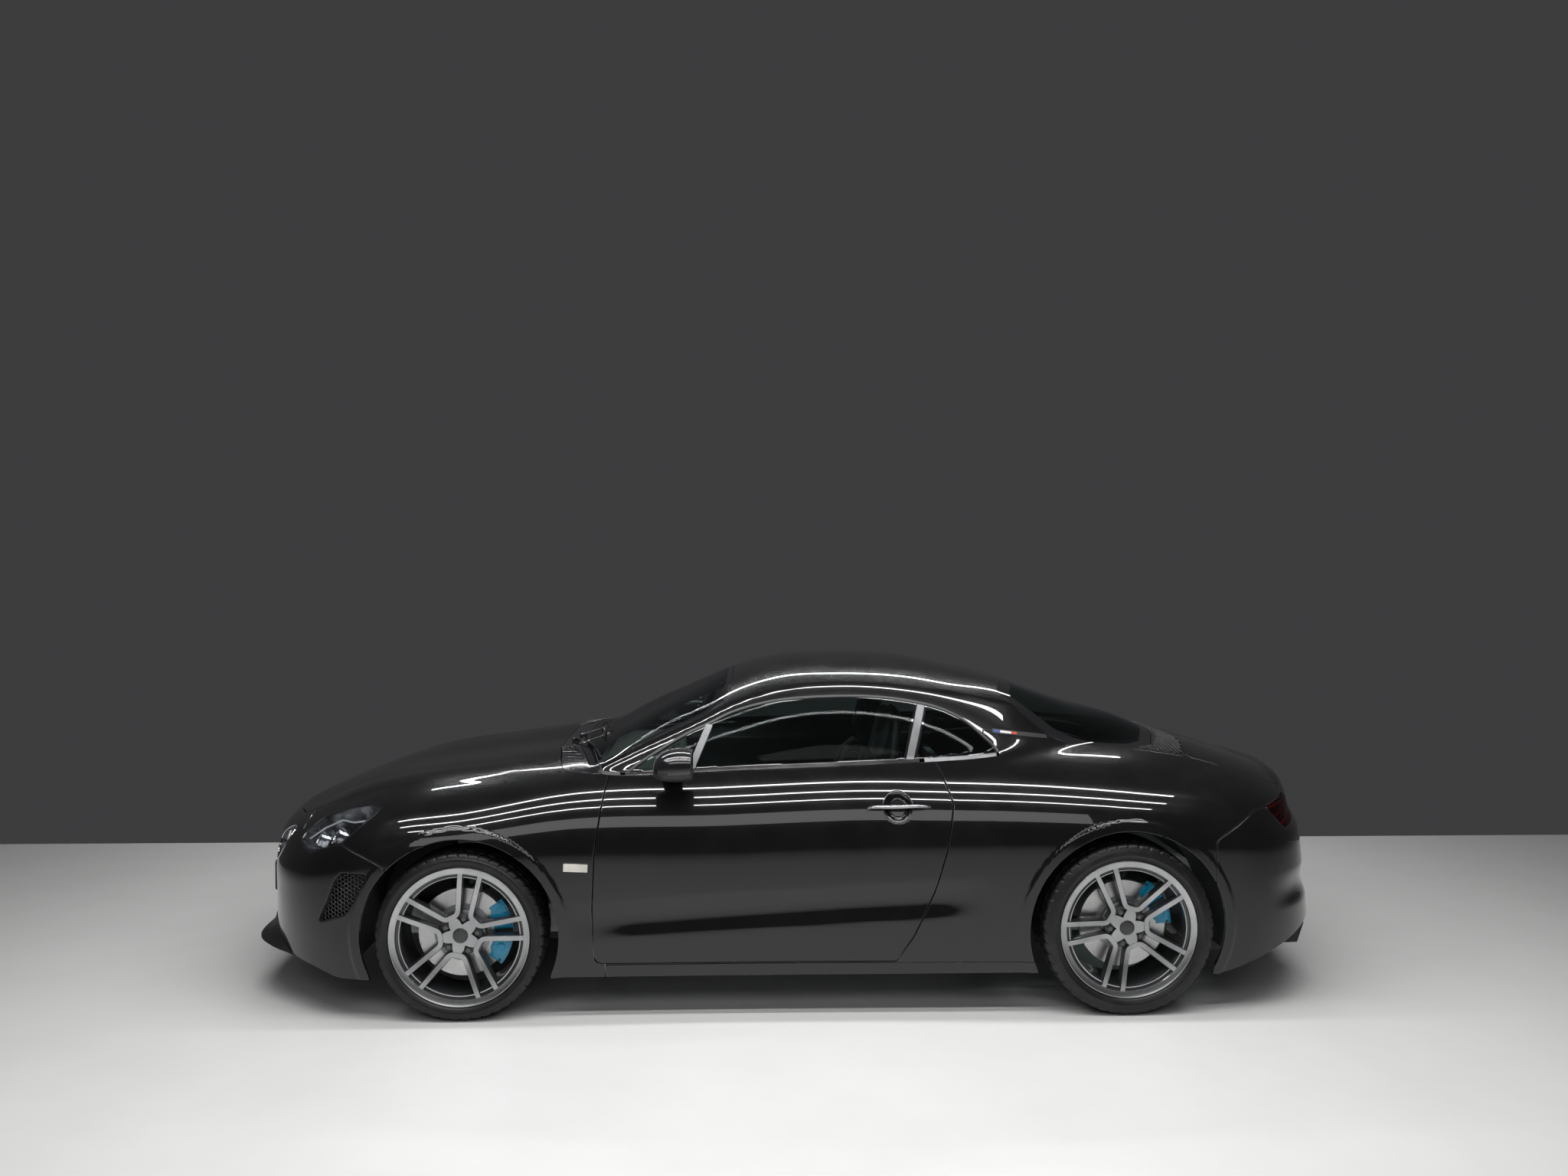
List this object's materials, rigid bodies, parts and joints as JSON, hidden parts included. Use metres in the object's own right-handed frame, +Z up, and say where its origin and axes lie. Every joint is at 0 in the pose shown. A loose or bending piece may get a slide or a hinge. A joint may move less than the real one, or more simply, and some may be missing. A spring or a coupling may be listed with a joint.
{
  "type": "mid-engined two-seat sports coupe",
  "caption": "Low two-seat coupe with wrap-round rear glass, opening doors, bonnet and boot lid, steered front wheels and turning wheels.",
  "frame": {"origin": "on the ground at the middle of the length, on the centreline", "axes": "+X forward, +Y to the car's left, +Z up"},
  "size_m": [4.1799, 1.934, 1.2526],
  "materials": {
    "paint": "deep gloss black paint, clear coated",
    "satin_black": "satin black moulded plastic",
    "clear_glass": "lightly tinted safety glass",
    "lamp_glass": "clear lamp lens",
    "lamp_red": "red tail lamp lens",
    "wheel_grey": "machined face with dark grey pockets",
    "tyre_rubber": "black tread rubber",
    "disc_steel": "turned brake disc",
    "caliper_blue": "bright blue paint",
    "cast_alloy": "bare cast and pressed alloy",
    "trim_black": "black leather and cloth trim",
    "iron": "dark cast iron and alloy",
    "steel_pipe": "stainless silencer and tailpipe"
  },
  "bodies": {
    "root": {"chassis": "cast_alloy", "dashboard": "trim_black", "engine_block": "iron", "engine_vent": "satin_black", "exhaust": "steel_pipe", "front_bumper": "paint", "front_grille": "satin_black", "front_lamps": "lamp_glass", "front_splitter": "satin_black", "front_wing_left": "paint", "front_wing_right": "paint", "front_wishbones": "cast_alloy", "luggage_trays": "satin_black", "plate_holder": "satin_black", "quarter_windows": "clear_glass", "rear_bumper": "paint", "rear_calipers": "caliper_blue", "rear_quarter_left": "paint", "rear_quarter_right": "paint", "rear_suspension": "cast_alloy", "rear_window": "clear_glass", "roof_panel": "paint", "scuttle": "satin_black", "seats": "trim_black", "sill_covers": "paint", "tail_lamps": "lamp_red", "underbody_panels": "satin_black", "wheel_liners": "satin_black", "windscreen": "clear_glass"},
    "door_left": {"door_left": "paint", "door_glass_left": "clear_glass", "mirror_left": "paint"},
    "door_right": {"door_right": "paint", "door_glass_right": "clear_glass", "mirror_right": "paint"},
    "bonnet": {"bonnet": "paint"},
    "boot_lid": {"boot_lid": "paint"},
    "steering_wheel": {"steering_wheel": "trim_black"},
    "knuckle_left": {"knuckle_front_left": "iron", "caliper_front_left": "caliper_blue"},
    "knuckle_right": {"knuckle_front_right": "iron", "caliper_front_right": "caliper_blue"},
    "wheel_front_left": {"rim_front_left": "wheel_grey", "tyre_front_left": "tyre_rubber", "disc_front_left": "disc_steel"},
    "wheel_front_right": {"rim_front_right": "wheel_grey", "tyre_front_right": "tyre_rubber", "disc_front_right": "disc_steel"},
    "wheel_rear_left": {"rim_rear_left": "wheel_grey", "tyre_rear_left": "tyre_rubber", "disc_rear_left": "disc_steel"},
    "wheel_rear_right": {"rim_rear_right": "wheel_grey", "tyre_rear_right": "tyre_rubber", "disc_rear_right": "disc_steel"}
  },
  "joints": [
    {"name": "door_left_hinge", "type": "hinge", "parent": "root", "child": "door_left", "pos_m": [0.722, 0.86605, 0.5], "axis": [0, 0, -1], "range_deg": [0, 65]},
    {"name": "door_right_hinge", "type": "hinge", "parent": "root", "child": "door_right", "pos_m": [0.722, -0.86605, 0.5], "axis": [0, 0, 1], "range_deg": [0, 65]},
    {"name": "bonnet_hinge", "type": "hinge", "parent": "root", "child": "bonnet", "pos_m": [0.865, 0, 0.9], "axis": [0, -1, 0], "range_deg": [0, 55]},
    {"name": "boot_hinge", "type": "hinge", "parent": "root", "child": "boot_lid", "pos_m": [-1.531, 0, 0.945], "axis": [0, 1, 0], "range_deg": [0, 70]},
    {"name": "steering_wheel_turn", "type": "hinge", "parent": "root", "child": "steering_wheel", "pos_m": [0.4, 0.355, 0.74], "axis": [-0.922, 0, 0.3872], "range_deg": [-420, 420]},
    {"name": "steer_left", "type": "hinge", "parent": "root", "child": "knuckle_left", "pos_m": [1.21, 0.728, 0.306], "axis": [0, 0, 1], "range_deg": [-30, 30]},
    {"name": "steer_right", "type": "hinge", "parent": "root", "child": "knuckle_right", "pos_m": [1.21, -0.728, 0.306], "axis": [0, 0, 1], "range_deg": [-30, 30]},
    {"name": "spin_front_left", "type": "hinge", "parent": "knuckle_left", "child": "wheel_front_left", "pos_m": [1.21, 0.778, 0.306], "axis": [0, 1, 0], "continuous": true},
    {"name": "spin_front_right", "type": "hinge", "parent": "knuckle_right", "child": "wheel_front_right", "pos_m": [1.21, -0.778, 0.306], "axis": [0, 1, 0], "continuous": true},
    {"name": "spin_rear_left", "type": "hinge", "parent": "root", "child": "wheel_rear_left", "pos_m": [-1.209, 0.7765, 0.317], "axis": [0, 1, 0], "continuous": true},
    {"name": "spin_rear_right", "type": "hinge", "parent": "root", "child": "wheel_rear_right", "pos_m": [-1.209, -0.7765, 0.317], "axis": [0, 1, 0], "continuous": true}
  ],
  "couplings": [
    {"joint": "steer_right", "follows": "steer_left", "ratio": 1},
    {"joint": "steering_wheel_turn", "follows": "steer_left", "ratio": -14}
  ]
}
